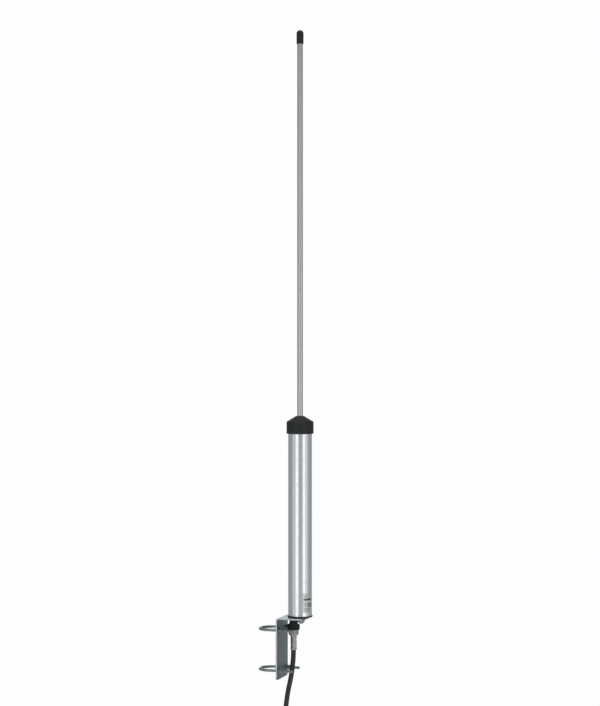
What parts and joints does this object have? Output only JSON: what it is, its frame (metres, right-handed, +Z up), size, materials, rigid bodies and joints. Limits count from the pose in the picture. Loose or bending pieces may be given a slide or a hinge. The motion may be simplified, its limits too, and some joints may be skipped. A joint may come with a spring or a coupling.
{
  "type": "omnidirectional antenna",
  "caption": "Upright base-station whip antenna: aluminium base tube with black hood, thin whip with tip cap, angle bracket with U-bolt mast clamps, short coaxial feeder tail.",
  "frame": {"origin": "on the axis of the mast that the U-bolts clamp, half way between the two U-bolts", "axes": "+Z up along the mast and the whip, +X from the mast to the antenna, +Y across the bracket"},
  "size_m": [0.1187, 0.076, 1.7049],
  "materials": {
    "galvanised_steel": "satin",
    "stainless_steel": "satin",
    "tube_aluminium": "brushed",
    "whip_aluminium": "satin",
    "inner_aluminium": "machined",
    "black_plastic": "matte",
    "black_rubber": "matte",
    "cable_jacket": "satin",
    "white_insulation": "satin",
    "nickel_plated_brass": "satin",
    "plain_brass": "machined",
    "label_foil": "satin"
  },
  "bodies": {
    "antenna": {"antenna_nut": "stainless_steel", "antenna_stud": "stainless_steel", "base_gasket": "black_rubber", "base_o_ring": "black_rubber", "base_plug": "inner_aluminium", "base_tube": "tube_aluminium", "bolt_spring_washer": "stainless_steel", "bolt_washer": "stainless_steel", "bracket": "galvanised_steel", "cable": "cable_jacket", "clamp_spring_washers": "galvanised_steel", "clamp_washers": "galvanised_steel", "conductor_screw": "stainless_steel", "feed_wire": "plain_brass", "feeder_plug_body": "nickel_plated_brass", "feeder_plug_ferrule": "nickel_plated_brass", "feeder_plug_insulator": "white_insulation", "feeder_plug_pin": "nickel_plated_brass", "hood": "black_plastic", "inner_conductor": "inner_aluminium", "label": "label_foil", "line_plug_body": "nickel_plated_brass", "line_plug_ferrule": "nickel_plated_brass", "line_plug_insulator": "white_insulation", "line_plug_pin": "nickel_plated_brass", "socket_body": "nickel_plated_brass", "socket_contact": "plain_brass", "socket_insulator": "white_insulation", "socket_seal": "black_rubber", "stub_spacers": "white_insulation", "tap_clamp": "plain_brass", "tap_nut": "stainless_steel", "tap_screw": "stainless_steel", "top_insulator": "white_insulation", "tube_screws": "stainless_steel", "whip": "whip_aluminium", "whip_collar": "plain_brass", "whip_grub_screws": "stainless_steel", "whip_seal": "black_rubber", "whip_tip_cap": "black_plastic"},
    "upper_u_bolt": {"upper_u_bolt": "galvanised_steel"},
    "upper_near_nut": {"upper_near_nut": "galvanised_steel"},
    "upper_far_nut": {"upper_far_nut": "galvanised_steel"},
    "lower_u_bolt": {"lower_u_bolt": "galvanised_steel"},
    "lower_near_nut": {"lower_near_nut": "galvanised_steel"},
    "lower_far_nut": {"lower_far_nut": "galvanised_steel"},
    "feeder_coupling_nut": {"feeder_plug_coupling_nut": "nickel_plated_brass", "feeder_plug_grip": "black_rubber"},
    "line_coupling_nut": {"line_plug_coupling_nut": "nickel_plated_brass", "line_plug_grip": "black_rubber"}
  },
  "joints": [
    {"name": "upper_near_nut_turn", "type": "hinge", "parent": "antenna", "child": "upper_near_nut", "pos_m": [0.0299, -0.0255, 0.0425], "axis": [1, 0, 0], "range_deg": [0, 7200]},
    {"name": "upper_far_nut_turn", "type": "hinge", "parent": "antenna", "child": "upper_far_nut", "pos_m": [0.0299, 0.0255, 0.0425], "axis": [1, 0, 0], "range_deg": [0, 7200]},
    {"name": "upper_u_bolt_slide", "type": "slide", "parent": "antenna", "child": "upper_u_bolt", "axis": [-1, 0, 0], "range_m": [0, 0.02]},
    {"name": "lower_near_nut_turn", "type": "hinge", "parent": "antenna", "child": "lower_near_nut", "pos_m": [0.0299, -0.0255, -0.0425], "axis": [1, 0, 0], "range_deg": [0, 7200]},
    {"name": "lower_far_nut_turn", "type": "hinge", "parent": "antenna", "child": "lower_far_nut", "pos_m": [0.0299, 0.0255, -0.0425], "axis": [1, 0, 0], "range_deg": [0, 7200]},
    {"name": "lower_u_bolt_slide", "type": "slide", "parent": "antenna", "child": "lower_u_bolt", "axis": [-1, 0, 0], "range_m": [0, 0.02]},
    {"name": "feeder_coupling_turn", "type": "hinge", "parent": "antenna", "child": "feeder_coupling_nut", "pos_m": [0.05096, -0.00695, 0.0445], "axis": [0, 0, -1], "continuous": true},
    {"name": "line_coupling_turn", "type": "hinge", "parent": "antenna", "child": "line_coupling_nut", "pos_m": [0.0362, -0.0055, -0.387], "axis": [0, 0, 1], "continuous": true}
  ],
  "couplings": [
    {"joint": "upper_near_nut_turn", "follows": "upper_u_bolt_slide", "rad_per_m": 6283.2},
    {"joint": "upper_far_nut_turn", "follows": "upper_u_bolt_slide", "rad_per_m": 6283.2},
    {"joint": "lower_near_nut_turn", "follows": "lower_u_bolt_slide", "rad_per_m": 6283.2},
    {"joint": "lower_far_nut_turn", "follows": "lower_u_bolt_slide", "rad_per_m": 6283.2}
  ]
}
